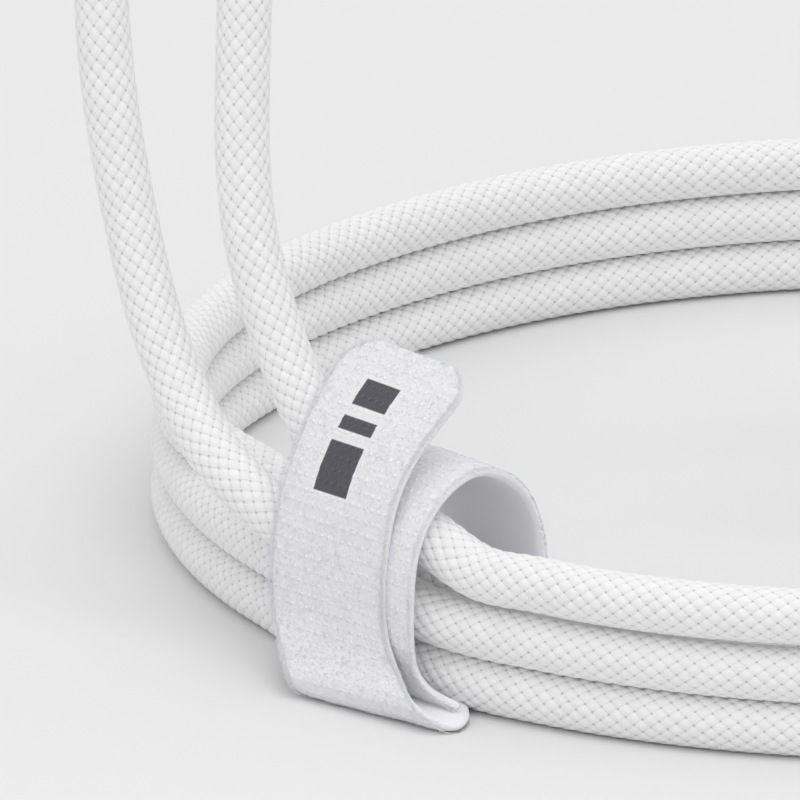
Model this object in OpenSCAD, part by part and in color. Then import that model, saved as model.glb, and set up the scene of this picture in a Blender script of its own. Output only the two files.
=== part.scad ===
// Braided charging cable, wound in a flat coil and held by a hook-and-loop strap.
// Millimetres. The origin is the centre of the coil, on the surface it lies on, +Z up.

/* [Cable] */
// Diameter of the braided cord
cord_d = 4.5; // [4.4:0.05:4.6]
// Radius of the coil, to the middle of the outer column of turns
coil_r = 62; // [61.8:0.1:62.2]

/* [Strap] */
// Place of the strap round the coil, in degrees
strap_angle = -138; // [-139:0.5:-137]
// Width of the strap
strap_w = 13; // [11:0.5:14]
// Thickness of one layer of the strap
strap_t = 1.1; // [0.8:0.1:1.2]
// Gap between the free tongue and the wrap behind it
tongue_gap = 0.4; // [0.3:0.05:0.6]

/* [Plug] */
// Length of the rigid sleeve of a plug
housing_l = 18; // [17:0.5:20]
// Width of the sleeve
housing_w = 11.5; // [11:0.1:12.4]
// Thickness of the sleeve
housing_h = 6; // [5.8:0.1:6.5]
// Length of the strain relief
boot_l = 10; // [9:0.5:12]
// Turn of plug a on the surface
plug_a_turn = 5; // [-8:1:8]
// Turn of plug b on the surface
plug_b_turn = -4; // [-8:1:8]

/* [Hidden] */
$fn = 48;

// Standard reversible plug: shell and what is inside it
shell_w = 8.25;
shell_h = 2.4;
shell_wall = 0.3;
shell_out = 6.65;
shell_in = 6;
block_w = shell_w - 2 * shell_wall;
block_h = shell_h - 2 * shell_wall;
slot_w = 6.7;
slot_h = 0.76;
slot_depth = 5.8;
contact_count = 12;
contact_pitch = 0.5;
contact_w = 0.25;
contact_t = 0.2;

// Sleeve, and the pieces inside it, counted from the small end of the strain relief
housing_wall = 0.8;
face_x = boot_l + housing_l;
bezel_t = 1.5;
mould_wall = 0.3;
can_wall = 0.25;
can_x0 = boot_l + 2;
board_w = 8;
board_t = 0.8;
board_x0 = can_x0 + 2;
board_x1 = face_x - shell_in - 0.2;
wire_d = 0.8;
wire_x0 = boot_l + 1;
wire_spread = 1.6;

// Coil: turns are a cord diameter apart in both directions
layer = cord_d;
inner_r = coil_r - cord_d;
strap_zone = 10;
stack_low_end = 197;
fold_angle = -100;
lift = strap_t + 0.1;

// Routes of the free stretches, chosen by hand, in millimetres
start_x = coil_r * cos(strap_angle + strap_zone);
start_y = coil_r * sin(strap_angle + strap_zone);
start_heading = [sin(strap_angle + strap_zone), -cos(strap_angle + strap_zone), 0];
end_a_route = [
    [start_x, start_y, 1.5 * cord_d], [-42, -46, 7], [-46.5, -41.9, 8.3], [-51.5, -37.7, 10.2],
    [-56.2, -34, 12.8], [-59.9, -30.4, 15.8], [-62.7, -27, 20.2], [-64.9, -24.5, 25.8],
    [-66.6, -22.2, 32.5], [-68, -20.6, 40], [-68.9, -19.2, 48], [-69, -17.8, 56.5],
    [-67.4, -15.9, 65], [-62, -13, 73.5], [-54, -9.2, 80], [-44, -4.6, 83],
    [-33.5, 0.4, 82], [-24, 4.8, 77], [-16.5, 8.2, 68.5], [-11.5, 10.6, 58.5],
    [-8.8, 12, 47.5], [-7.4, 12.9, 36.5], [-5.4, 13.5, 26], [-1, 13.9, 16],
    [5.5, 14, 8.4], [12.5, 14, 4.2], [20, 14, 3]
];
end_b_route = [
    [start_x, start_y, 2.5 * cord_d], [-41.8, -46.2, 12.1], [-45.5, -41.2, 13.4], [-49.2, -35.8, 15.5],
    [-52.3, -31.2, 19.6], [-54.8, -28.2, 25.2], [-56.8, -25.9, 32], [-57.6, -24, 40],
    [-57.5, -22.6, 48], [-57, -21.2, 56.5], [-54.6, -19.6, 65], [-49, -17.3, 72.5],
    [-40.8, -14.6, 77.2], [-31.5, -12, 77.8], [-22.8, -10, 74], [-15.8, -8.8, 66.5],
    [-11.2, -8.2, 57], [-8.8, -7.9, 46.5], [-7.3, -7.6, 36], [-5.2, -7.3, 25.8],
    [-1, -7.1, 16], [5.5, -7, 8.4], [12.5, -7, 4.2], [20, -7, 3]
];
fold_x = inner_r * cos(fold_angle);
fold_y = inner_r * sin(fold_angle);
fold_heading = [-sin(fold_angle), cos(fold_angle), 0];
fold_route = [
    [fold_x, fold_y, 1.5 * cord_d], [-4, -56.4, 6.6], [1.5, -53, 5.8], [4.8, -47.6, 4.6],
    [6, -41.4, 3.2], [8.4, -35.6, 2.4], [13.2, -31.6, 2.25], [19.4, -31, 2.25],
    [25.2, -33.8, 2.25], [28.4, -39.4, 2.25], [28, -45.8, 2.25], [24, -51, 2.25],
    [17.8, -54.4, 2.25], [10.8, -56.4, 2.25], [3.4, -57.4, 2.25], [-3.2, -57.3, 2.25],
    [fold_x, fold_y, 0.5 * cord_d]
];
plug_a_place = end_a_route[len(end_a_route) - 1];
plug_b_place = end_b_route[len(end_b_route) - 1];
tube_sides = 10;

// Section of the strap, as seen along the bundle: x is outward from the outer column, y is up
arch_x = -3.6;
arch_y = 11.2;
arch_r = 7.2;
corner_r = 3;
wrap_path = concat(
    [for (a = [-40:20:0]) [arch_x + arch_r - corner_r + corner_r * cos(a), 4.8 + corner_r * sin(a)]],
    [for (a = [0:15:180]) [arch_x + arch_r * cos(a), arch_y + arch_r * sin(a)]],
    [for (a = [180:22.5:270]) [arch_x - arch_r + corner_r + corner_r * cos(a), 3.6 + corner_r * sin(a)]],
    [[-4, 0.55 * strap_t], [0, 0.5 * strap_t], [4, 0.5 * strap_t]]
);
lap_x = arch_x + arch_r + strap_t + tongue_gap;
tongue_path = [
    [lap_x + 0.5, 1.7], [lap_x + 0.45, 3.6], [lap_x + 0.2, 6], [lap_x, 9], [lap_x - 0.2, 12],
    [lap_x - 0.9, 15], [lap_x - 2.3, 18.2], [lap_x - 4.5, 21.3], [lap_x - 6.7, 23.6], [lap_x - 8.5, 25.2]
];
tongue_tip_r = 3;

// Sweep of a round cord along points, with no twist
function unit(v) = v / norm(v);
function headings(route, first, last) = [
    for (i = [0:len(route) - 1])
        i == 0 ? first : i == len(route) - 1 ? last : unit(route[i + 1] - route[i - 1])
];
function level_side(side, heading) = unit(side - (side * heading) * heading);
function carried(dirs, i, side) =
    i == len(dirs) ? [] :
    let (s = level_side(side, dirs[i])) concat([s], carried(dirs, i + 1, s));
function tube_points(route, dirs, sides, r) = [
    for (i = [0:len(route) - 1], k = [0:tube_sides - 1])
        let (a = 360 * k / tube_sides)
        route[i] + r * (cos(a) * sides[i] + sin(a) * cross(dirs[i], sides[i]))
];
function tube_skin(rings, n) = [
    for (i = [0:rings - 2], k = [0:n - 1], half = [0, 1])
        let (a = i * n + k, b = i * n + (k + 1) % n)
        half == 0 ? [a, a + n, b] : [b, a + n, b + n]
];

module tube(route, first, last) {
    dirs = headings(route, first, last);
    rings = len(route);
    n = tube_sides;
    caps = [[for (k = [0:n - 1]) k], [for (k = [n - 1:-1:0]) (rings - 1) * n + k]];
    polyhedron(
        points = tube_points(route, dirs, carried(dirs, 0, [0.1, 0.2, 1]), cord_d / 2),
        faces = concat(tube_skin(rings, n), caps)
    );
}

// Section of a stack of turns in one column; column 0 is the outer one
module stack(column, levels) {
    translate([coil_r - column * cord_d, cord_d / 2]) {
        circle(d = cord_d);
        translate([0, (levels - 1) * layer]) circle(d = cord_d);
        if (levels > 1) translate([-cord_d / 2, 0]) square([cord_d, (levels - 1) * layer]);
    }
}

module between_columns(levels) {
    translate([inner_r, 0]) square([cord_d, levels * layer]);
}

module turns(from, to) {
    rotate([0, 0, from]) rotate_extrude(angle = to - from, $fn = 180) children();
}

// The wound turns, in four stretches that meet face to face
module coil_back() color("whitesmoke") turns(fold_angle, stack_low_end) stack(0, 3);

module coil_front() color("whitesmoke") turns(strap_angle + strap_zone, fold_angle) {
    stack(0, 3);
    stack(1, 2);
    between_columns(2);
}

module coil_strap() color("whitesmoke") turns(strap_angle - strap_zone, strap_angle + strap_zone)
    difference() {
        union() {
            stack(0, 1);
            stack(1, 2);
            between_columns(1);
        }
        translate([inner_r - cord_d, 0]) square([3 * cord_d, lift]);
    }

module coil_left() color("whitesmoke") turns(stack_low_end, 360 + strap_angle - strap_zone) {
    stack(0, 2);
    stack(1, 1);
    between_columns(1);
}

module cable_fold() color("whitesmoke") tube(fold_route, fold_heading, -fold_heading);

module cable_end_a() color("whitesmoke")
    tube(end_a_route, start_heading, [cos(plug_a_turn), sin(plug_a_turn), 0]);

module cable_end_b() color("whitesmoke")
    tube(end_b_route, start_heading, [cos(plug_b_turn), sin(plug_b_turn), 0]);

// Strap: a strip of even thickness along a path in its section plane
function strip_normal(path, i) =
    let (a = path[max(i - 1, 0)], b = path[min(i + 1, len(path) - 1)], d = unit(b - a)) [-d[1], d[0]];
function strip_outline(path, t) = concat(
    [for (i = [0:len(path) - 1]) path[i] + strip_normal(path, i) * t / 2],
    [for (i = [len(path) - 1:-1:0]) path[i] - strip_normal(path, i) * t / 2]
);

module at_strap() {
    rotate([0, 0, strap_angle]) translate([coil_r, 0, 0]) rotate([90, 0, 0]) children();
}

module strap_wrap() color("lavender") at_strap()
    translate([0, 0, -strap_w / 2]) linear_extrude(strap_w) polygon(strip_outline(wrap_path, strap_t));

// Seen from outside, the free end of the tongue has round corners
module tongue_face() {
    tip = tongue_path[len(tongue_path) - 1][1] + strap_t;
    half = strap_w / 2;
    square_top = tip - tongue_tip_r;
    translate([-half, 0]) square([strap_w, square_top]);
    translate([-half + tongue_tip_r, square_top]) circle(tongue_tip_r);
    translate([half - tongue_tip_r, square_top]) circle(tongue_tip_r);
    translate([-half + tongue_tip_r, square_top]) square([strap_w - 2 * tongue_tip_r, tongue_tip_r]);
}

module strap_tongue() color("lavender") intersection() {
    at_strap() translate([0, 0, -strap_w / 2]) linear_extrude(strap_w)
        polygon(strip_outline(tongue_path, strap_t));
    rotate([0, 0, strap_angle]) translate([coil_r + 3 * strap_w, 0, 0])
        rotate([90, 0, -90]) linear_extrude(6 * strap_w) tongue_face();
}

// Plug: drawn along +X from the small end of the strain relief, its axis on the X axis
module oblong(w, h) {
    square([w - h, h], center = true);
    for (side = [-1, 1]) translate([side * (w - h) / 2, 0]) circle(d = h);
}

module along(x0, x1) {
    translate([x0, 0, 0]) rotate([90, 0, 90]) linear_extrude(x1 - x0) children();
}

module oblong_tube(x0, x1, w, h, wall) {
    along(x0, x1) difference() {
        oblong(w, h);
        oblong(w - 2 * wall, h - 2 * wall);
    }
}

module plug_shell() color("silver")
    oblong_tube(face_x - shell_in, face_x + shell_out, shell_w, shell_h, shell_wall);

module contact_rows(grow) {
    x0 = face_x - shell_in + 0.4;
    x1 = face_x + shell_out - 0.6;
    for (i = [0:contact_count - 1], side = [-1, 1])
        translate([
            (x0 + x1) / 2,
            (i - (contact_count - 1) / 2) * contact_pitch,
            side * (slot_h / 2 + contact_t / 2)
        ])
        cube([x1 - x0 + grow, contact_w + grow, contact_t + grow], center = true);
}

module contact_block() color("dimgray") difference() {
    along(face_x - shell_in, face_x + shell_out - 0.3) oblong(block_w, block_h);
    translate([face_x + shell_out - slot_depth, -slot_w / 2, -slot_h / 2]) cube([slot_depth, slot_w, slot_h]);
    contact_rows(0);
    latch_arms();
}

module contacts() color("gold") contact_rows(0);

module latch_arms() {
    for (side = [-1, 1]) {
        translate([face_x - shell_in + 0.6, side * (slot_w / 2 + 0.12) - 0.12, -0.25])
            cube([shell_in + shell_out - 2, 0.24, 0.5]);
    }
}

module latch_springs() color("lightgray") latch_arms();

module bezel() color("white") along(face_x - bezel_t, face_x) difference() {
    oblong(housing_w - 2 * housing_wall, housing_h - 2 * housing_wall);
    oblong(shell_w, shell_h);
}

module housing() color("gainsboro") difference() {
    union() {
        along(boot_l, face_x - 0.5) oblong(housing_w, housing_h);
        along(face_x - 0.5, face_x) oblong(housing_w - 0.6, housing_h - 0.6);
    }
    along(boot_l + 1, face_x + 1) oblong(housing_w - 2 * housing_wall, housing_h - 2 * housing_wall);
    along(boot_l - 1, boot_l + 1) oblong(7, 5.1);
}

module inner_mould() color("ivory") oblong_tube(
    boot_l + 1, face_x - bezel_t, housing_w - 2 * housing_wall, housing_h - 2 * housing_wall, mould_wall
);

module shield_can() color("silver") oblong_tube(
    can_x0, face_x - bezel_t - 0.2,
    housing_w - 2 * (housing_wall + mould_wall), housing_h - 2 * (housing_wall + mould_wall), can_wall
);

module board() color("darkgreen")
    translate([board_x0, -board_w / 2, -board_t / 2]) cube([board_x1 - board_x0, board_w, board_t]);

// Marker chip, two capacitors and a resistor
module board_chips() color("black") {
    top = board_t / 2;
    translate([board_x0 + 3.2, -1, top]) cube([2, 2, 0.6]);
    for (side = [-1, 1]) translate([board_x0 + 2, side * 2.4 - 0.25, top]) cube([1, 0.5, 0.5]);
    translate([board_x0 + 3.6, 2, -top - 0.4]) cube([1, 0.5, 0.4]);
}

// Five conductors from the end of the jacket to the board
module wires() color("firebrick")
    for (i = [-2:2])
        translate([wire_x0, i * wire_spread * 0.55, board_t / 2 + wire_d / 2])
            rotate([0, 90, 0]) cylinder(d = wire_d, h = board_x0 + 1.2 - wire_x0, $fn = 24);

module cable_tail() color("whitesmoke") rotate([0, 90, 0]) cylinder(d = cord_d, h = wire_x0);

// Outline of the round part of the strain relief: a cone with grooves that let it bend
boot_round_l = boot_l - 2.5;
boot_profile = concat(
    [[0, cord_d / 2], [0, 2.65]],
    [for (i = [0:3], p = [[0.9, 0], [0.9, -0.25], [1.5, -0.25], [1.5, 0]])
        [i * 1.6 + p[0], 2.65 + 0.04 * (i * 1.6 + p[0]) + p[1]]],
    [[boot_round_l, 2.95], [boot_round_l, cord_d / 2]]
);

module strain_relief() color("white") {
    rotate([0, 90, 0]) rotate_extrude() polygon([for (p = boot_profile) [p[1], p[0]]]);
    along(boot_round_l, boot_l) difference() {
        oblong(8.6, 5.9);
        circle(d = cord_d);
    }
    along(boot_l, boot_l + 1) difference() {
        oblong(7, 5.1);
        circle(d = cord_d);
    }
}

module at_a() {
    translate(plug_a_place) rotate([0, 0, plug_a_turn]) children();
}

module at_b() {
    translate(plug_b_place) rotate([0, 0, plug_b_turn]) children();
}

coil_back();
coil_front();
coil_strap();
coil_left();
cable_fold();
cable_end_a();
cable_end_b();
strap_wrap();
strap_tongue();
at_a() plug_shell();  // plug_shell_a
at_a() contact_block();  // contact_block_a
at_a() contacts();  // contacts_a
at_a() latch_springs();  // latch_springs_a
at_a() bezel();  // bezel_a
at_a() board();  // board_a
at_a() board_chips();  // board_chips_a
at_a() wires();  // wires_a
at_a() cable_tail();  // cable_tail_a
at_a() shield_can();  // shield_can_a
at_a() inner_mould();  // inner_mould_a
at_a() housing();  // housing_a
at_a() strain_relief();  // strain_relief_a
at_b() plug_shell();  // plug_shell_b
at_b() contact_block();  // contact_block_b
at_b() contacts();  // contacts_b
at_b() latch_springs();  // latch_springs_b
at_b() bezel();  // bezel_b
at_b() board();  // board_b
at_b() board_chips();  // board_chips_b
at_b() wires();  // wires_b
at_b() cable_tail();  // cable_tail_b
at_b() shield_can();  // shield_can_b
at_b() inner_mould();  // inner_mould_b
at_b() housing();  // housing_b
at_b() strain_relief();  // strain_relief_b
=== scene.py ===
import math

import bmesh
import bpy
import numpy as np
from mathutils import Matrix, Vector


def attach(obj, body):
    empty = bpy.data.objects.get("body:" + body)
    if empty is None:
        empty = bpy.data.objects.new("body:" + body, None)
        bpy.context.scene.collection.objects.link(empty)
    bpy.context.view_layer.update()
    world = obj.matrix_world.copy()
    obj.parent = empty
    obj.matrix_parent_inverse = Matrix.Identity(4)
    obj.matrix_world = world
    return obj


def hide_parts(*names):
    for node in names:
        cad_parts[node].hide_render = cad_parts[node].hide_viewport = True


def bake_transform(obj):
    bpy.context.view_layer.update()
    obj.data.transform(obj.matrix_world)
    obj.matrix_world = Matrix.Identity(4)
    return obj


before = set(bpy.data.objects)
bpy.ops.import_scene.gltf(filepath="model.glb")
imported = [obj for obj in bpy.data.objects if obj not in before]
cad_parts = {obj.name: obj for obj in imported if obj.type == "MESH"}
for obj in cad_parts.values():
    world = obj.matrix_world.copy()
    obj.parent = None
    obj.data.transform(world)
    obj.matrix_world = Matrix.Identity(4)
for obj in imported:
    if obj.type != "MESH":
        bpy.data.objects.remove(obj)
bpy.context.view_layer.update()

# Braided charging cable, wound in a flat coil and held by a hook-and-loop strap.
# Lengths are in millimetres until points() turns them into metres, and angles are in degrees round
# the middle of the coil. The frame is the CAD's: x to the right, y away from the camera, z up.

MM = 0.001
CORD_D = 4.5
COIL_R = 62.0               # of the stacked turns
INNER_R = COIL_R - CORD_D   # of the strands that lie inside them
STRAP_ANGLE = -138.0        # where the strap is
STRAP_ZONE = 10.0           # from there to where the free ends leave the turns
FOLD_ANGLE = -100.0         # where the legs leave for the fold


def points(millimetres):
    """Millimetre points, in metres."""
    return np.asarray(millimetres, float) * MM


# --- Camera -------------------------------------------------------------------------------------

VIEW_ELEVATION = math.radians(18.36)
VIEW_DISTANCE = 1.46
VIEW_LENS = 792.0
VIEW_TARGET = Vector((-0.0448, 0.0, 0.0101))


def make_camera():
    data = bpy.data.cameras.new("camera")
    data.lens = VIEW_LENS
    data.sensor_width = 36
    data.clip_start, data.clip_end = 0.05, 20
    camera = bpy.data.objects.new("camera", data)
    bpy.context.scene.collection.objects.link(camera)
    back = Vector((0, -math.cos(VIEW_ELEVATION), math.sin(VIEW_ELEVATION)))
    camera.location = VIEW_TARGET + back * VIEW_DISTANCE
    camera.rotation_mode = "QUATERNION"
    camera.rotation_quaternion = (-back).to_track_quat("-Z", "Y")
    bpy.context.scene.camera = camera


make_camera()

# --- Route of the cord --------------------------------------------------------------------------

LEVEL = [(0.5 + i) * CORD_D for i in range(3)]
END_RISE = 0.4   # of the upper free end, above its level
ends_turn = math.radians(STRAP_ANGLE + STRAP_ZONE)
START = [COIL_R * math.cos(ends_turn), COIL_R * math.sin(ends_turn)]
# The two free ends, from the strap up, over and down to their plugs inside the coil
END_A = [
    [*START, LEVEL[1]], [-42.2, -46.3, 7.2], [-47, -42.3, 8.6], [-51.5, -37.7, 10.2],
    [-56.2, -34, 12.8], [-59.9, -30.4, 15.8], [-62.7, -27, 20.2], [-64.9, -24.5, 25.8],
    [-66.6, -22.2, 32.5], [-68, -20.6, 40], [-68.9, -19.2, 48], [-69, -17.8, 56.5],
    [-67.4, -15.9, 65], [-62, -13, 73.5], [-54, -9.2, 80], [-44, -4.6, 83],
    [-33.5, 0.4, 82], [-24, 4.8, 77], [-16.5, 8.2, 68.5], [-11.5, 10.6, 58.5],
    [-8.8, 12, 47.5], [-7.4, 12.9, 36.5], [-5.4, 13.5, 26], [-1, 13.9, 16],
    [5.5, 14, 8.4], [12.5, 14, 4.2], [20, 14, 3],
]
END_B = [
    [*START, LEVEL[2] + END_RISE], [-41.8, -46.2, 13.3], [-45.5, -41.2, 14.2],
    [-49.2, -35.8, 15.5], [-52.3, -31.2, 19.6], [-54.8, -28.2, 25.2], [-56.8, -25.9, 32],
    [-57.6, -24, 40], [-57.5, -22.6, 48], [-57, -21.2, 56.5], [-54.6, -19.6, 65],
    [-49, -17.3, 72.5], [-40.8, -14.6, 77.2], [-31.5, -12, 77.8], [-22.8, -10, 74],
    [-15.8, -8.8, 66.5], [-11.2, -8.2, 57], [-8.8, -7.9, 46.5], [-7.3, -7.6, 36],
    [-5.2, -7.3, 25.8], [-1, -7.1, 16], [5.5, -7, 8.4], [12.5, -7, 4.2], [20, -7, 3],
]
# The loop inside the coil where the cord turns back
FOLD = [
    [-4, -56.4, 6.6], [1.5, -53, 5.8], [4.8, -47.6, 4.6], [6, -41.4, 3.2], [8.4, -35.6, 2.4],
    [13.2, -31.6, 2.25], [19.4, -31, 2.25], [25.2, -33.8, 2.25], [28.4, -39.4, 2.25],
    [28, -45.8, 2.25], [24, -51, 2.25], [17.8, -54.4, 2.25], [10.8, -56.4, 2.25],
    [3.4, -57.4, 2.25], [-3.2, -57.3, 2.25],
]
# Where each leg of the coil is, as (angle, radius, height). It keeps to its place between two
# stations that agree, and moves over smoothly between two that don't.
LEG_A = [
    (-100, INNER_R, LEVEL[0]), (-134, INNER_R, LEVEL[0]), (-148, COIL_R, LEVEL[0]),
    (-493, COIL_R, LEVEL[0]), (-506, COIL_R, LEVEL[1]), (-848, COIL_R, LEVEL[1]),
]
LEG_B = [
    (-100, INNER_R, LEVEL[1]), (-150, INNER_R, LEVEL[1]), (-160, INNER_R + 1.1, LEVEL[1] + 3.1),
    (-171, COIL_R, LEVEL[2]), (-400, COIL_R, LEVEL[2]), (-450, COIL_R, LEVEL[2] + 0.5),
    (-476, COIL_R, LEVEL[2] + 0.3), (-488, COIL_R, LEVEL[2] + END_RISE),
]
# The coil isn't quite round: (angle, how far out of its circle, how many degrees to each side)
OUT_OF_ROUND = [(173.0, 1.35, 42.0), (-82.0, -1.5, 58.0)]
TURN_STEP = 4.0                   # degrees between two points of a turn
STRAP_LIFT = 0.8                  # of the turns, where the strap runs under them
LIFT_FLAT, LIFT_FADE = 3.0, 6.0   # degrees at full lift, and from there down to none
END_FADE = 12.0                   # degrees at each end of a leg where the lift fades too


def smooth(x):
    """From 0 at 0 to 1 at 1, level at both ends."""
    x = np.clip(x, 0, 1)
    return x * x * (3 - 2 * x)


def degrees_from(middle, angle):
    return np.abs((angle - middle + 180) % 360 - 180)


def out_of_round(angle):
    """How far outside its circle the coil lies."""
    out = np.zeros(len(angle))
    for middle, amount, reach in OUT_OF_ROUND:
        out += amount * (1 - smooth(degrees_from(middle, angle) / reach))
    return out


def strap_lift(angle):
    """How far the strap's bottom layer lifts the turns, near the strap."""
    away = degrees_from(STRAP_ANGLE, angle)
    return STRAP_LIFT * (1 - smooth((away - LIFT_FLAT) / LIFT_FADE))


def wound(stations):
    """Points along the turns of one leg, from its fold end to its free end."""
    at = np.array(stations, float)
    count = int(round((at[0, 0] - at[-1, 0]) / TURN_STEP))
    angle = np.linspace(at[0, 0], at[-1, 0], count + 1)[1:-1]
    radius, height = np.zeros(len(angle)), np.zeros(len(angle))
    for a, b in zip(at[:-1], at[1:]):
        inside = (angle <= a[0]) & (angle >= b[0])
        share = smooth((a[0] - angle[inside]) / (a[0] - b[0]))
        radius[inside] = a[1] + (b[1] - a[1]) * share
        height[inside] = a[2] + (b[2] - a[2]) * share
    after_start = smooth((at[0, 0] - angle) / END_FADE)
    before_end = smooth((angle - at[-1, 0]) / END_FADE)
    height = height + strap_lift(angle) * np.minimum(after_start, before_end)
    radius = radius + out_of_round(angle)
    turn = np.radians(angle)
    return np.stack([radius * np.cos(turn), radius * np.sin(turn), height], axis=1)


def fold_end(level):
    """The point where a leg leaves for the fold."""
    turn = math.radians(FOLD_ANGLE)
    return [[INNER_R * math.cos(turn), INNER_R * math.sin(turn), LEVEL[level]]]


def through(stations, step):
    """Points about step apart on a smooth curve through the stations, a natural cubic spline."""
    p = np.asarray(stations, float)
    knots = np.concatenate([[0], np.cumsum(np.linalg.norm(np.diff(p, axis=0), axis=1))])
    gap = np.diff(knots)
    n = len(p)
    rows = np.eye(n)
    right = np.zeros_like(p)
    for i in range(1, n - 1):
        rows[i, i - 1 : i + 2] = gap[i - 1], 2 * (gap[i - 1] + gap[i]), gap[i]
        right[i] = 6 * ((p[i + 1] - p[i]) / gap[i] - (p[i] - p[i - 1]) / gap[i - 1])
    bend = np.linalg.solve(rows, right)

    def at(s):
        k = np.clip(np.searchsorted(knots, s, side="right") - 1, 0, n - 2)
        a, b, h = (knots[k + 1] - s)[:, None], (s - knots[k])[:, None], gap[k][:, None]
        return (
            bend[k] * a**3 / (6 * h) + bend[k + 1] * b**3 / (6 * h)
            + (p[k] / h - bend[k] * h / 6) * a + (p[k + 1] / h - bend[k + 1] * h / 6) * b
        )

    places = np.linspace(0, knots[-1], 20 * n)
    along = np.concatenate([[0], np.cumsum(np.linalg.norm(np.diff(at(places), axis=0), axis=1))])
    count = int(math.ceil(along[-1] / step))
    return at(np.interp(np.linspace(0, along[-1], count + 1), along, places))


def cord_route():
    """Stations of the whole cord: from plug a over its turns to the fold, and back out to plug b."""
    leg_a, leg_b = wound(LEG_A), wound(LEG_B)
    return np.concatenate([
        END_A[::-1], leg_a[::-1], fold_end(0), FOLD[::-1], fold_end(1), leg_b, END_B,
    ])


def frames(line):
    """Two sides at each point of a line, that turn with it and don't twist round it."""
    heading = np.gradient(line, axis=0)
    heading /= np.linalg.norm(heading, axis=1)[:, None]
    side = np.zeros_like(line)
    last = np.array([0.1, 0.2, 1.0])
    for i, ahead in enumerate(heading):
        last = last - (last @ ahead) * ahead
        last /= np.linalg.norm(last)
        side[i] = last
    return side, np.cross(heading, side)


# --- Mesh helpers -------------------------------------------------------------------------------

def mesh_piece(name, verts, faces, body="cable"):
    """A smooth mesh object from millimetre points and four-cornered faces, kept above the floor."""
    verts, faces = points(verts), np.asarray(faces, np.int32)
    verts[:, 2] = np.maximum(verts[:, 2], 0)
    mesh = bpy.data.meshes.new(name)
    mesh.vertices.add(len(verts))
    mesh.vertices.foreach_set("co", verts.astype(np.float32).ravel())
    mesh.loops.add(faces.size)
    mesh.loops.foreach_set("vertex_index", faces.ravel())
    mesh.polygons.add(len(faces))
    mesh.polygons.foreach_set("loop_start", np.arange(len(faces), dtype=np.int32) * faces.shape[1])
    mesh.polygons.foreach_set("use_smooth", np.full(len(faces), True))
    mesh.update(calc_edges=True)
    mesh.validate()
    piece = bpy.data.objects.new(name, mesh)
    bpy.context.scene.collection.objects.link(piece)
    if body:
        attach(piece, body)
    return piece


def add_uv(piece, name, corners):
    """A UV layer, from two coordinates for each corner of each face."""
    layer = piece.data.uv_layers.new(name=name)
    layer.data.foreach_set("uv", np.asarray(corners, np.float32).ravel())


def grid_faces(rows, columns, closed):
    """Quads of a grid of rows by columns, whose columns go right round if closed."""
    across = columns if closed else columns - 1
    i, j = np.meshgrid(np.arange(rows - 1), np.arange(across), indexing="ij")
    after = (j + 1) % columns
    quads = [i * columns + j, i * columns + after, (i + 1) * columns + after, (i + 1) * columns + j]
    return np.stack(quads, axis=-1).reshape(-1, 4)


# --- Cord ---------------------------------------------------------------------------------------

JACKET_R = 1.85
JACKET_STEP = 1.5
JACKET_SIDES = 16
YARNS = 12                            # each way round
BRAID_PITCH = 16.8                    # along the cord for one turn of a yarn
BRAID_FINE = 4   # steps across a yarn
BRAID_R = 2.18                        # where yarns meet, apart from the holes
PILLOW = 0.085                        # rise of a yarn's middle above that
CORNER_DIP = 0.13                     # depth of the hole where four yarns meet
PILLOW_ACROSS, PILLOW_ALONG = 5, 2.2  # how square the pillow is, each way
BRAID_PIECES = 8
CENTRE_STEP = 0.5

centre = through(cord_route(), CENTRE_STEP)
cord_side, cord_up = frames(centre)
cord_length = float(np.linalg.norm(np.diff(centre, axis=0), axis=1).sum())


def sample(values, at):
    """Rows of values, given evenly along the cord, at other places along it."""
    along = np.linspace(0, cord_length, len(values))
    return np.stack([np.interp(at, along, values[:, k]) for k in range(3)], axis=1)


def unit(v):
    return v / np.linalg.norm(v, axis=-1, keepdims=True)


def cord_sections(at):
    """The cord's middle and its two sides, at places along it."""
    return sample(centre, at), unit(sample(cord_side, at)), unit(sample(cord_up, at))


def make_jacket():
    """The round jacket under the sleeve, and its middle line in metres."""
    rings = int(cord_length / JACKET_STEP)
    middle, side, up = cord_sections(np.linspace(0, cord_length, rings))
    turn = np.linspace(0, 2 * math.pi, JACKET_SIDES, endpoint=False)
    ring = (
        middle[:, None]
        + JACKET_R * np.cos(turn)[None, :, None] * side[:, None]
        + JACKET_R * np.sin(turn)[None, :, None] * up[:, None]
    )
    jacket = mesh_piece("cable_jacket", ring.reshape(-1, 3), grid_faces(rings, JACKET_SIDES, True))
    return jacket, points(middle)


def braid_height(ia, ib):
    """Height of the sleeve's surface above its base, at lattice place (ia, ib)."""
    k = BRAID_FINE
    x, y = 2 * (ia % k) / k - 1, 2 * (ib % k) / k - 1
    over = ((ia // k) + (ib // k)) % 2 == 0
    across, along = np.where(over, x, y), np.where(over, y, x)
    pillow = (1 - np.abs(across) ** PILLOW_ACROSS) * (1 - np.abs(along) ** PILLOW_ALONG)
    corner = (x == -1) & (y == -1)
    return PILLOW * pillow - CORNER_DIP * corner


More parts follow.
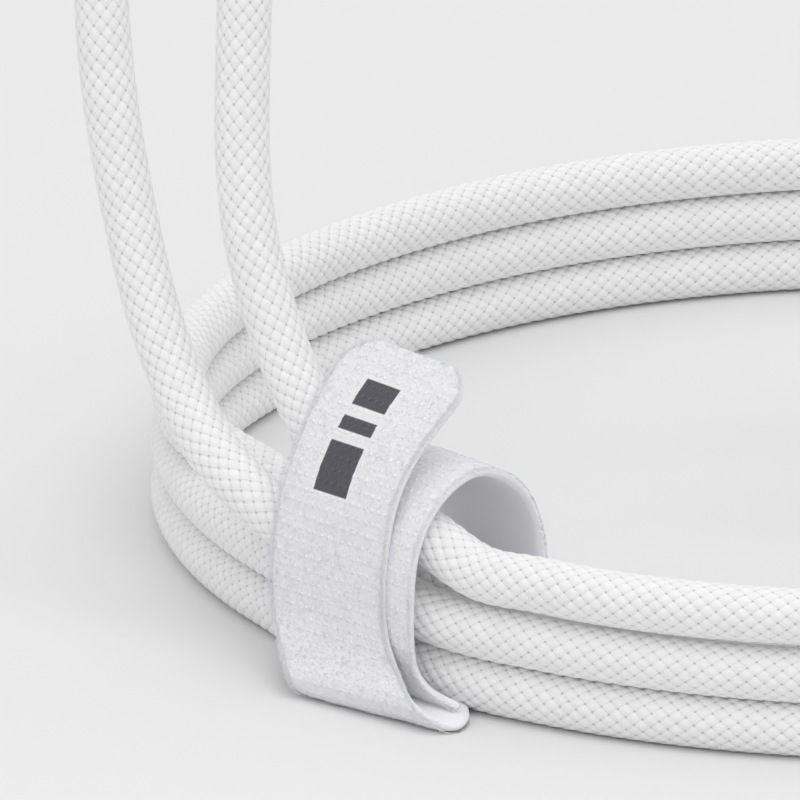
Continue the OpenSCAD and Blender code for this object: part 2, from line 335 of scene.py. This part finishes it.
def make_braid(name, first, last):
    """The sleeve between two places along the cord, as one mesh on the yarns' own lattice.

    ia and ib count the steps across the yarns that wind one way and the other.
    """
    around = YARNS * BRAID_FINE
    row_step = BRAID_PITCH / (2 * around)
    d = np.arange(int(first / row_step), int(last / row_step) + 2)
    m = np.arange(around)
    ia = (2 * m[None] + (d % 2)[:, None] - d[:, None]) // 2
    ib = ia + d[:, None]
    turn = math.pi * (ia + ib) / around
    radius = BRAID_R + braid_height(ia, ib)
    middle, side, up = cord_sections(np.clip(d * row_step, 0, cord_length))
    verts = (
        middle[:, None]
        + (radius * np.cos(turn))[..., None] * side[:, None]
        + (radius * np.sin(turn))[..., None] * up[:, None]
    )
    r, c = np.meshgrid(np.arange(len(d) - 2), m, indexing="ij")
    shift = (d[:-2] % 2)[:, None]
    left, right = (c + shift - 1) % around, (c + shift) % around
    faces = np.stack([
        r * around + c, (r + 1) * around + right, (r + 2) * around + c, (r + 1) * around + left,
    ], axis=-1).reshape(-1, 4)
    a, b = ia[:-2], ib[:-2]
    steps = ((0, 0), (0, 1), (-1, 1), (-1, 0))
    corners = np.stack([np.stack([a + i, b + j], -1) for i, j in steps], axis=-2) / BRAID_FINE
    piece = mesh_piece(name, verts.reshape(-1, 3), faces)
    add_uv(piece, "yarn", corners.reshape(-1, 2))
    return piece


jacket, jacket_path = make_jacket()
cuts = np.linspace(0, cord_length, BRAID_PIECES + 1)
braids = [
    make_braid(f"braided_sleeve_{i + 1}", a, b)
    for i, (a, b) in enumerate(zip(cuts[:-1], cuts[1:]))
]
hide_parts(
    "coil_back", "coil_front", "coil_strap", "coil_left",
    "cable_fold", "cable_end_a", "cable_end_b",
)

# --- Strap --------------------------------------------------------------------------------------

# Middle of the strip along its left and right edge, from its inner end round the bundle to the tip
# of the tongue, as (outward from the middle of the turns, along them to the right, up)
STRAP_EDGES = [
    ((2.9, -3.2, 1.5), (2.6, 12, 1.4)),
    ((3.3, -4.6, 2.2), (3.1, 10.2, 1.95)),
    ((3.5, -5.2, 3.5), (3.4, 8.2, 3.2)),
    ((3.7, -5.3, 5.6), (3.7, 7.7, 5.5)),
    ((3.75, -5.3, 9.3), (3.75, 7.7, 9.3)),
    ((3.3, -5.3, 13), (3.3, 7.7, 13)),
    ((0.95, -5.3, 16.9), (0.95, 7.7, 16.9)),
    ((-3.45, -5.3, 18.7), (-3.45, 7.7, 18.7)),
    ((-8.15, -5.3, 16.2), (-8.15, 7.7, 16.2)),
    ((-10.2, -5.3, 11.4), (-10.2, 7.7, 11.4)),
    ((-10.3, -5.3, 7), (-10.3, 7.7, 7)),
    ((-9.6, -5.2, 3), (-9.6, 7.8, 3)),
    ((-7.2, -5.1, 0.7), (-7.2, 7.9, 0.7)),
    ((-3, -4.8, 0.45), (-3, 8.1, 0.45)),
    ((1, -3.8, 0.5), (0.4, 10.6, 0.5)),
    ((4.6, -1.9, 0.5), (2.7, 13, 0.5)),
    ((7.8, -1.6, 0.7), (5.1, 13.3, 0.7)),
    ((8.3, -2.3, 1.7), (6.2, 11.6, 1.8)),
    ((6.7, -5.2, 3.1), (5.2, 7.9, 3.5)),
    ((5.2, -7.5, 5.2), (4.4, 5.6, 5.5)),
    ((4.8, -8.1, 9.3), (4.2, 4.9, 9.3)),
    ((4.3, -8.1, 13.2), (3.9, 4.9, 13.2)),
    ((2.9, -8.1, 17.2), (2.7, 4.9, 17.4)),
    ((0.3, -8.1, 21.5), (-0.1, 5.1, 21.3)),
    ((-3.2, -8.1, 25.6), (-4.0, 5.7, 25.0)),
    ((-4.4, -8.1, 26.7), (-5.3, 5.8, 26.1)),
]
STRAP_T = 0.85
STRAP_STEP = 0.2
STRAP_COLUMNS = 66
EVEN_COLUMNS = 0.65                       # the rest of their spacing crowds to the edges
EDGE_SQUARE = 14                          # how square the edges are
TIP_R = 3.6                               # corners of the tongue
NO_TIP = 1e3                              # distance to the tip of a stretch that has none
HINGE_STATION = 15                        # where the wrap ends and the tongue begins
DOT_ALONG, DOT_ACROSS = 1.05, 0.78        # spacing of the knitted loops
DOT_HEIGHT, DOT_SPREAD = 0.045, 0.045
STRIP_UV = 100.0                          # millimetres in one unit of the strip's UV layer
WEAVE_SIZE, WEAVE_HEIGHT = 0.3, 0.012     # of the inner face
WEAVE_SEED = 6
# Uneven parts of the outer face, as (size, height, seed)
PILE_NOISE = [(0.5, 0.022, 3), (0.27, 0.6 * 0.022, 4), (3.5, 0.05, 5)]
FIBRES = 9000     # on each stretch
FIBRE_POINTS = 4
FIBRE_SIDES = 3
FIBRE_R = 0.014
FIBRE_REACH = (0.2, 0.55)                 # from end to end
FIBRE_RISE = (0.03, 0.12)                 # of the middle above the ends
FIBRE_BEND = 0.25                         # sideways, as a share of the reach
FIBRE_ROOT = 0.02                         # depth of the ends in the pile
RIM_FIBRES = 0.3                          # share of them that are at the edges
RIM_BAND = 0.04                           # width of that, as a share of half the strip
strap_turn = math.radians(STRAP_ANGLE)
STRAP_AXES = np.array([
    [math.cos(strap_turn), math.sin(strap_turn), 0],
    [-math.sin(strap_turn), math.cos(strap_turn), 0],
    [0, 0, 1],
])


def at_strap(local):
    """Millimetre points of the CAD's frame, from the strap's own (out, along, up)."""
    local = np.asarray(local, float) + [COIL_R, 0, 0]
    return local @ STRAP_AXES


def noise(x, y, seed):
    """Smooth noise between -1 and 1, one bump per unit of x and y."""
    size = 64
    table = np.random.default_rng(seed).uniform(-1, 1, (size, size))
    i, j = np.floor(x).astype(int), np.floor(y).astype(int)
    a, b = smooth(x - i), smooth(y - j)
    i, j, k, m = i % size, j % size, (i + 1) % size, (j + 1) % size
    low = table[i, j] * (1 - a) + table[k, j] * a
    high = table[i, m] * (1 - a) + table[k, m] * a
    return low * (1 - b) + high * b


strap_edges = np.array(STRAP_EDGES, float).reshape(-1, 6)
strap_fine = through(strap_edges, STRAP_STEP)
strap_left, strap_right = at_strap(strap_fine[:, :3]), at_strap(strap_fine[:, 3:])
strap_middle = (strap_left + strap_right) / 2
strap_along = np.concatenate([
    [0], np.cumsum(np.linalg.norm(np.diff(strap_middle, axis=0), axis=1)),
])
strap_length = strap_along[-1]
hinge_place = at_strap(strap_edges[HINGE_STATION].reshape(2, 3)).mean(axis=0)
hinge_row = int(np.argmin(np.linalg.norm(strap_middle - hinge_place, axis=1)))


def strap_surface(rows, across):
    """Points halfway through the strip, and its outward normals there, for rows of the strip and
    places across it from -1 to 1."""
    left, right = strap_left[rows], strap_right[rows]
    share = (across + 1) / 2
    place = left * (1 - share)[..., None] + right * share[..., None]
    ahead_left, ahead_right = np.gradient(strap_left, axis=0), np.gradient(strap_right, axis=0)
    ahead = ahead_left[rows] * (1 - share)[..., None] + ahead_right[rows] * share[..., None]
    return place, unit(np.cross(right - left, ahead))


def pile_height(along, across):
    """Uneven pile of the outer face: knitted loops in staggered rows, and soft lumps."""
    row = np.floor(along / DOT_ALONG)
    x = (across / DOT_ACROSS + 0.5 * (row % 2)) % 1 - 0.5
    y = (along / DOT_ALONG) % 1 - 0.5
    height = DOT_HEIGHT * np.exp(-((x * DOT_ACROSS) ** 2 + (y * DOT_ALONG) ** 2) / DOT_SPREAD)
    for size, amount, seed in PILE_NOISE:
        height = height + amount * noise(along / size, across / size, seed)
    return height


def half_width(rows):
    return 0.5 * np.linalg.norm(strap_right - strap_left, axis=1)[rows]


def tip_inset(end):
    """How far the rounded corners pull an edge in, at a distance from the tip."""
    return np.where(end < TIP_R, TIP_R - np.sqrt(np.maximum(TIP_R**2 - (TIP_R - end) ** 2, 0)), 0)


def make_strip(name, first, last, body, round_end):
    """A stretch of the strip, with its thickness, soft edges and, at the tip, round corners."""
    rows = np.arange(first, last + 1)
    half = half_width(rows)
    crowded = -np.cos(np.linspace(0, math.pi, STRAP_COLUMNS))
    even = np.linspace(-1, 1, STRAP_COLUMNS)
    spread = (1 - EVEN_COLUMNS) * crowded + EVEN_COLUMNS * even
    end = strap_along[last] - strap_along[rows] if round_end else np.full(len(rows), NO_TIP)
    across = spread[None] * (1 - tip_inset(end) / half)[:, None]
    place, normal = strap_surface(rows[:, None].repeat(STRAP_COLUMNS, 1), across)
    edge_thin = np.sqrt(np.maximum(1 - np.abs(spread) ** EDGE_SQUARE, 0))[None]
    tip_thin = np.sqrt(np.clip(1 - (1 - np.clip(end / (STRAP_T / 2), 0, 1)) ** 2, 0, 1))[:, None]
    thin = edge_thin * tip_thin
    width = across * half[:, None]
    along = strap_along[rows][:, None] + 0 * width
    outer = place + normal * (thin * (STRAP_T / 2 + pile_height(along, width)))[..., None]
    weave = WEAVE_HEIGHT * noise(along / WEAVE_SIZE, width / WEAVE_SIZE, WEAVE_SEED)
    inner = place - normal * (thin * (STRAP_T / 2 + weave))[..., None]
    ring = np.concatenate([outer, inner[:, -2:0:-1]], axis=1)
    faces = grid_faces(len(rows), ring.shape[1], True)
    piece = mesh_piece(name, ring.reshape(-1, 3), faces, body)
    flat = np.stack([along, width], -1)
    uv = np.concatenate([flat, flat[:, -2:0:-1]], axis=1).reshape(-1, 2)
    add_uv(piece, "strip", uv[faces.ravel()] / STRIP_UV)
    side = np.concatenate([np.ones(STRAP_COLUMNS), np.zeros(STRAP_COLUMNS - 2)])
    face = piece.data.attributes.new("outer_face", "FLOAT", "POINT")
    face.data.foreach_set("value", np.tile(side, len(rows)).astype(np.float32))
    weld(piece)
    return piece


def weld(piece):
    """Joins the points that meet at the rounded tip and closes the open ends."""
    mesh = bmesh.new()
    mesh.from_mesh(piece.data)
    bmesh.ops.remove_doubles(mesh, verts=mesh.verts, dist=1e-6)
    bmesh.ops.holes_fill(mesh, edges=mesh.edges, sides=0)
    mesh.to_mesh(piece.data)
    mesh.free()


# The plain bars printed on the tongue, as (near end, far end, left, right): the ends from the
# strip's tip, the sides from its middle
MARK_BARS = [
    (3.6, 6.0, -2.7, 1.1), (7.0, 8.2, -2.7, 1.1), (9.2, 13.4, -2.7, 1.1),
]
MARK_MARGIN = 0.4   # kept free of fibres round the bars


def on_mark(from_tip, beside):
    """Whether places on the strip are within the printed bars, or close to them."""
    inside = np.zeros(len(from_tip), bool)
    for near, far, left, right in MARK_BARS:
        along = (from_tip > near - MARK_MARGIN) & (from_tip < far + MARK_MARGIN)
        inside |= along & (beside > left - MARK_MARGIN) & (beside < right + MARK_MARGIN)
    return inside


def make_pile(name, first, last, body, count, seed):
    """Loose fibres of the pile: short arcs that lie in all directions on the outer face."""
    random = np.random.default_rng(seed)
    row = random.integers(first, last, count)
    across = random.uniform(-1, 1, count)
    rim = random.random(count) < RIM_FIBRES
    across = np.where(rim, np.sign(across) * (1 - RIM_BAND * random.random(count)), across)
    half = half_width(row)
    clear = ~on_mark(strap_length - strap_along[row], across * half)
    row, across, half, count = row[clear], across[clear], half[clear], int(clear.sum())
    across = across * (1 - tip_inset(strap_length - strap_along[row]) / half)
    place, normal = strap_surface(row, across)
    ahead = unit(strap_middle[np.minimum(row + 1, len(strap_middle) - 1)] - strap_middle[row - 1])
    sideways = np.cross(normal, ahead)
    turn = random.uniform(0, 2 * math.pi, count)
    along = ahead * np.cos(turn)[:, None] + sideways * np.sin(turn)[:, None]
    beside = np.cross(normal, along)
    reach = random.uniform(*FIBRE_REACH, count)
    rise = random.uniform(*FIBRE_RISE, count)
    height = STRAP_T / 2 + pile_height(strap_along[row], across * half) - FIBRE_ROOT
    base = place + normal * height[:, None]
    steps = np.linspace(0, 1, FIBRE_POINTS)
    spine = (
        base[:, None]
        + along[:, None] * (reach[:, None] * (steps - 0.5))[..., None]
        + normal[:, None] * (rise[:, None] * np.sin(math.pi * steps))[..., None]
        + beside[:, None] * (FIBRE_BEND * reach[:, None] * (steps * (1 - steps)))[..., None]
    )
    turns = np.linspace(0, 2 * math.pi, FIBRE_SIDES, endpoint=False)
    ring = (
        spine[:, :, None]
        + FIBRE_R * np.cos(turns)[None, None, :, None] * beside[:, None, None]
        + FIBRE_R * np.sin(turns)[None, None, :, None] * normal[:, None, None]
    )
    faces = grid_faces(FIBRE_POINTS, FIBRE_SIDES, True)
    faces = faces[None] + (np.arange(count) * FIBRE_POINTS * FIBRE_SIDES)[:, None, None]
    return mesh_piece(name, ring.reshape(-1, 3), faces.reshape(-1, 4), body)


tip_row = len(strap_middle) - 1
wrap = make_strip("strap_band", 0, hinge_row, "cable", False)
tongue = make_strip("strap_free_end", hinge_row, tip_row, None, True)
wrap_pile = make_pile("strap_band_pile", 1, hinge_row, "cable", FIBRES, 11)
tongue_pile = make_pile("strap_free_end_pile", hinge_row, tip_row, None, FIBRES, 12)
for piece in (tongue, tongue_pile):
    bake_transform(piece)
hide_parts("strap_wrap")
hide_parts("strap_tongue")

# --- Materials ----------------------------------------------------------------------------------

def plain(name, colour, roughness, metallic=0.0, sheen=0.0):
    """A Principled material with its node tree, and its shader node."""
    material = bpy.data.materials.new(name)
    material.use_nodes = True
    shader = material.node_tree.nodes["Principled BSDF"]
    shader.inputs["Base Color"].default_value = (*colour, 1)
    shader.inputs["Roughness"].default_value = roughness
    shader.inputs["Metallic"].default_value = metallic
    shader.inputs["Sheen Weight"].default_value = sheen
    return material, shader


class Net:
    """Short calls for adding nodes to a material."""

    def __init__(self, material):
        self.tree = material.node_tree

    def node(self, kind, **settings):
        made = self.tree.nodes.new(kind)
        for key, value in settings.items():
            setattr(made, key, value)
        return made

    def feed(self, socket, value):
        if isinstance(value, bpy.types.NodeSocket):
            self.tree.links.new(value, socket)
        else:
            socket.default_value = value

    def math(self, operation, a, b=0.0, c=0.0):
        made = self.node("ShaderNodeMath", operation=operation)
        for socket, value in zip(made.inputs, (a, b, c)):
            self.feed(socket, value)
        return made.outputs[0]

    def step(self, value, low, high, to_low=0.0, to_high=1.0):
        """A smooth step of value between low and high."""
        made = self.node("ShaderNodeMapRange", interpolation_type="SMOOTHSTEP")
        for socket, v in zip(made.inputs, (value, low, high, to_low, to_high)):
            self.feed(socket, v)
        return made.outputs[0]

    def uv(self, layer, scale=1.0):
        """The two coordinates of a UV layer."""
        place = self.node("ShaderNodeUVMap", uv_map=layer)
        parts = self.node("ShaderNodeSeparateXYZ")
        self.feed(parts.inputs[0], place.outputs[0])
        x, y = parts.outputs[0], parts.outputs[1]
        if scale == 1.0:
            return x, y
        return self.math("MULTIPLY", x, scale), self.math("MULTIPLY", y, scale)

    def noise(self, x, y, detail=2.0):
        """Noise from 0 to 1 over two coordinates."""
        place = self.node("ShaderNodeCombineXYZ")
        self.feed(place.inputs[0], x)
        self.feed(place.inputs[1], y)
        made = self.node("ShaderNodeTexNoise")
        made.inputs["Scale"].default_value = 1.0
        made.inputs["Detail"].default_value = detail
        self.feed(made.inputs["Vector"], place.outputs[0])
        return made.outputs[0]

    def mix(self, share, a, b):
        """One of two colours, or a blend."""
        made = self.node("ShaderNodeMix", data_type="RGBA")
        self.feed(made.inputs["Factor"], share)
        self.feed(made.inputs["A"], a)
        self.feed(made.inputs["B"], b)
        return made.outputs["Result"]

    def bump(self, shader, height, strength, distance):
        made = self.node("ShaderNodeBump")
        made.inputs["Strength"].default_value = strength
        made.inputs["Distance"].default_value = distance
        self.feed(made.inputs["Height"], height)
        self.feed(shader.inputs["Normal"], made.outputs[0])


def braid_material():
    """White yarns: a fine filament grain, painted shade in the small holes where four yarns meet,
    and fainter painted shade along the edges where yarns meet and dive under each other.
    """
    material, shader = plain("braid_white", (0.86, 0.86, 0.86), 0.7, sheen=0.2)
    net = Net(material)
    u, v = net.uv("yarn")
    cell_u, cell_v = net.math("FLOOR", u), net.math("FLOOR", v)
    part_u, part_v = net.math("FRACT", u), net.math("FRACT", v)
    odd = net.math("FLOORED_MODULO", net.math("ADD", cell_u, cell_v), 2.0)
    turn = net.math("SUBTRACT", part_v, part_u)
    across = net.math("MULTIPLY_ADD", odd, turn, part_u)
    along = net.math("SUBTRACT", net.math("ADD", part_u, part_v), across)
    edge_across = net.math("ABSOLUTE", net.math("MULTIPLY_ADD", across, 2.0, -1.0))
    edge_along = net.math("ABSOLUTE", net.math("MULTIPLY_ADD", along, 2.0, -1.0))
    corner = net.math("SQRT", net.math(
        "ADD",
        net.math("POWER", net.math("SUBTRACT", 1.0, edge_across), 2.0),
        net.math("POWER", net.math("SUBTRACT", 1.0, edge_along), 2.0),
    ))
    # Painted shade: the colour goes towards dark grey in the holes where four yarns meet, and
    # slightly darker along each yarn's sides and ends
    hole_painted_shade = net.step(corner, 0.1, 0.38, 1.0, 0.0)
    seam_painted_shade = net.step(edge_across, 0.78, 1.0)
    tuck_painted_shade = net.step(edge_along, 0.7, 1.0)
    strand = net.math("SINE", net.math("MULTIPLY", across, 2 * math.pi * 4))
    grain = net.noise(net.math("MULTIPLY", u, 9.0), net.math("MULTIPLY", v, 9.0))
    lot = net.noise(net.math("MULTIPLY", cell_u, 3.7), net.math("MULTIPLY", cell_v, 3.7), 0.0)
    painted_shade = net.math("MAXIMUM", hole_painted_shade, net.math("MULTIPLY", net.math("MAXIMUM", seam_painted_shade, tuck_painted_shade), 0.16))
    streak = net.math("MULTIPLY_ADD", strand, 0.12, net.math("MULTIPLY", grain, 0.3))
    light = net.math("MULTIPLY_ADD", lot, 0.7, streak)
    yarn = net.mix(light, (0.84, 0.84, 0.84, 1), (0.97, 0.97, 0.97, 1))
    # Mixes that painted shade into the yarn colour, towards dark grey
    colour = net.mix(net.math("MULTIPLY", painted_shade, 0.55), yarn, (0.38, 0.38, 0.39, 1))
    net.feed(shader.inputs["Base Color"], colour)
    pillow = net.math("MULTIPLY", net.math(
        "SUBTRACT", 1.0, net.math("POWER", edge_across, 5.0)
    ), net.math("SUBTRACT", 1.0, net.math("POWER", edge_along, 3.0)))
    height = net.math("MULTIPLY_ADD", strand, 0.12, net.math("MULTIPLY_ADD", grain, 0.25, pillow))
    net.bump(shader, height, 0.6, 0.00009)
    return material


def strap_material():
    """Hook-and-loop fabric: white loop pile in rows outside, smooth and greyer inside."""
    material, shader = plain("strap_fabric", (0.8, 0.8, 0.83), 0.85, sheen=0.2)
    net = Net(material)
    s, t = net.uv("strip", STRIP_UV)
    outer = net.node("ShaderNodeAttribute", attribute_name="outer_face").outputs["Fac"]
    row = net.math("DIVIDE", s, DOT_ALONG)
    stagger = net.math("MULTIPLY", net.math("FLOORED_MODULO", net.math("FLOOR", row), 2.0), 0.5)
    column = net.math("ADD", net.math("DIVIDE", t, DOT_ACROSS), stagger)
    x = net.math("MULTIPLY", net.math("SUBTRACT", net.math("FRACT", column), 0.5), DOT_ACROSS)
    y = net.math("MULTIPLY", net.math("SUBTRACT", net.math("FRACT", row), 0.5), DOT_ALONG)
    away = net.math("SQRT", net.math("ADD", net.math("POWER", x, 2.0), net.math("POWER", y, 2.0)))
    dots = net.step(away, 0.06, 0.21, 1.0, 0.0)
    fuzz = net.noise(net.math("MULTIPLY", s, 4.5), net.math("MULTIPLY", t, 4.5), 3.0)
    cloud = net.noise(net.math("MULTIPLY", s, 0.35), net.math("MULTIPLY", t, 0.35), 1.0)
    grey = (0.78, 0.78, 0.815, 1)
    white = (0.98, 0.98, 0.985, 1)
    knit = net.noise(net.math("MULTIPLY", s, 2.4), net.math("MULTIPLY", t, 1.6), 1.0)
    waver = net.math("MULTIPLY", knit, 7.0)
    rib = net.math("SINE", net.math("MULTIPLY_ADD", s, 2 * math.pi / 0.53, waver))
    share = net.math("ADD", net.math("MULTIPLY", dots, 0.8), net.math("MULTIPLY", fuzz, 0.6))
    share = net.math("MULTIPLY_ADD", cloud, 0.2, share)
    share = net.math("MULTIPLY_ADD", rib, 0.04, share)
    pile = net.mix(share, grey, white)
    face = net.mix(outer, (0.93, 0.93, 0.96, 1), pile)
    net.feed(shader.inputs["Base Color"], face)
    pile_bumps = net.math("MULTIPLY_ADD", fuzz, 1.6, net.math("MULTIPLY_ADD", rib, 0.08, dots))
    net.bump(shader, net.math("MULTIPLY", outer, pile_bumps), 0.7, 0.00011)
    return material, net, shader, face, outer, s, t


def between(net, value, low, high):
    """1 between low and high and 0 outside them, with a soft edge."""
    away = net.math("ABSOLUTE", net.math("SUBTRACT", value, (low + high) / 2))
    half, soft = (high - low) / 2, 0.06
    return net.step(away, half - soft, half + soft, 1.0, 0.0)


def marked_strap_material():
    """The strap's fabric with the generic printed bars near the tip of the tongue."""
    material, net, shader, face, outer, s, t = strap_material()
    material.name = "strap_fabric_printed"
    from_tip = net.math("SUBTRACT", strap_length, s)
    ink = None
    for near, far, left, right in MARK_BARS:
        bar = net.math("MULTIPLY", between(net, from_tip, near, far), between(net, t, left, right))
        ink = bar if ink is None else net.math("MAXIMUM", ink, bar)
    printed = net.math("MULTIPLY", net.math("MULTIPLY", ink, outer), 0.94)
    net.feed(shader.inputs["Base Color"], net.mix(printed, face, (0.028, 0.026, 0.042, 1)))
    return material


def give(pieces, material):
    """Gives pieces a material."""
    for piece in pieces:
        piece.data.materials.clear()
        piece.data.materials.append(material)


def plug_materials():
    """Looks of the CAD plug parts, as ((name, colour, roughness, metallic), slot)."""
    looks = {
        "plug_shell": (("shell_steel", (0.62, 0.62, 0.63), 0.28, 1.0), "shell_steel"),
        "contact_block": (("insulator_black", (0.018, 0.018, 0.02), 0.45, 0.0), "insulator"),
        "contacts": (("contact_gold", (0.83, 0.6, 0.25), 0.25, 1.0), "gold"),
        "latch_springs": (("spring_steel", (0.55, 0.55, 0.57), 0.3, 1.0), "spring_steel"),
        "bezel": (("bezel_grey", (0.6, 0.6, 0.62), 0.4, 0.6), "bezel"),
        "board": (("board_green", (0.02, 0.16, 0.07), 0.4, 0.0), "board"),
        "board_chips": (("chip_black", (0.02, 0.02, 0.02), 0.4, 0.0), "chips"),
        "wires": (("wire_red", (0.45, 0.03, 0.02), 0.45, 0.0), "wires"),
        "cable_tail": (("tail_white", (0.8, 0.8, 0.8), 0.6, 0.0), "braid"),
        "shield_can": (("can_steel", (0.6, 0.6, 0.62), 0.35, 1.0), "can"),
        "inner_mould": (("mould_white", (0.75, 0.75, 0.75), 0.55, 0.0), "mould"),
        "housing": (("housing_aluminium", (0.8, 0.8, 0.82), 0.36, 0.85), "housing"),
        "strain_relief": (("boot_white", (0.82, 0.82, 0.83), 0.6, 0.0), "boot"),
    }
    for part, (look, slot_name) in looks.items():
        material = plain(*look)[0]
        give([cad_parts[f"{part}_{end}"] for end in "ab"], material)


fabric = strap_material()[0]
give([jacket], plain("jacket_white", (0.7, 0.7, 0.71), 0.7)[0])
give(braids, braid_material())
give([wrap], fabric)
give([tongue], marked_strap_material())
give([wrap_pile, tongue_pile], plain("pile_fibre", (0.9, 0.9, 0.92), 0.8)[0])
plug_materials()

# --- Floor and light ----------------------------------------------------------------------------

def make_floor():
    bpy.ops.mesh.primitive_plane_add(size=6, location=(0, 0, 0))
    floor = bpy.context.object
    floor.name = "floor"
    floor.data.materials.append(plain("floor_grey", (0.8, 0.8, 0.8), 0.9)[0])


def area_light(name, place, target, size, power):
    """A round lamp at a place, turned to a target; both in metres."""
    data = bpy.data.lights.new(name, "AREA")
    data.shape = "DISK"
    data.size = size
    data.energy = power
    lamp = bpy.data.objects.new(name, data)
    bpy.context.scene.collection.objects.link(lamp)
    lamp.location = place
    lamp.rotation_mode = "QUATERNION"
    lamp.rotation_quaternion = (Vector(target) - Vector(place)).to_track_quat("-Z", "Y")


make_floor()
area_light("key", (0.3, -0.5, 1.25), (0, 0, 0), 1.1, 3)
area_light("front", (-0.04, -1.4, 0.5), (-0.04, 0, 0.02), 0.8, 1.3)
area_light("left", (-1.3, -0.5, 0.5), (-0.04, 0, 0.02), 0.8, 0.8)
SKY_SIDES, SKY_TOP_MORE = 0.38, 0.77


def make_sky():
    """A plain white studio, brighter overhead than at the sides."""
    world = bpy.data.worlds.new("studio")
    bpy.context.scene.world = world
    world.use_nodes = True
    net = Net(world)
    way = net.node("ShaderNodeTexCoord").outputs["Generated"]
    parts = net.node("ShaderNodeSeparateXYZ")
    net.feed(parts.inputs[0], way)
    background = world.node_tree.nodes["Background"]
    background.inputs["Color"].default_value = (1, 1, 1, 1)
    height = net.math("MAXIMUM", parts.outputs[2], 0.0)
    strength = net.math("MULTIPLY_ADD", height, SKY_TOP_MORE, SKY_SIDES)
    net.feed(background.inputs["Strength"], strength)


make_sky()
bpy.context.scene.view_settings.view_transform = "Standard"
